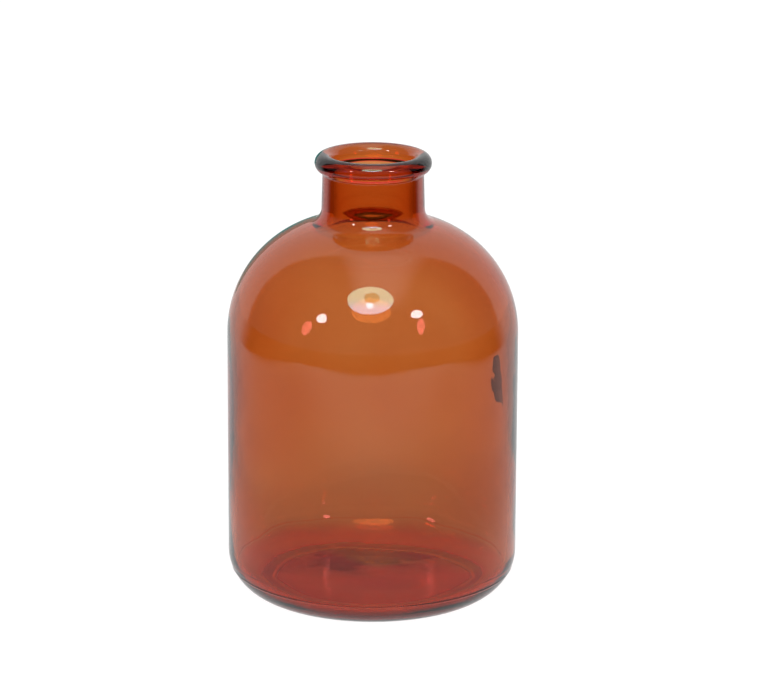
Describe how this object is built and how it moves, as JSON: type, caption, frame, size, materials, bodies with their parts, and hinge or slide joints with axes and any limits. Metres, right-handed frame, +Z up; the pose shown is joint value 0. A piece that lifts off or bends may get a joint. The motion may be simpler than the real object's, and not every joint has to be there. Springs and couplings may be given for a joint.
{
  "type": "bud vase",
  "caption": "Tinted glass bud vase: straight round body, domed shoulder, short open neck with a rolled lip and a pushed-up base.",
  "frame": {"origin": "centre of the resting plane, on the axis of the vase", "axes": "+Z up along the axis of the vase, out of its mouth"},
  "size_m": [0.08, 0.08, 0.124],
  "materials": {
    "amber_glass": "gloss, clear tinted glass, coloured through"
  },
  "bodies": {
    "root": {"glass_vessel": "amber_glass"}
  },
  "joints": []
}
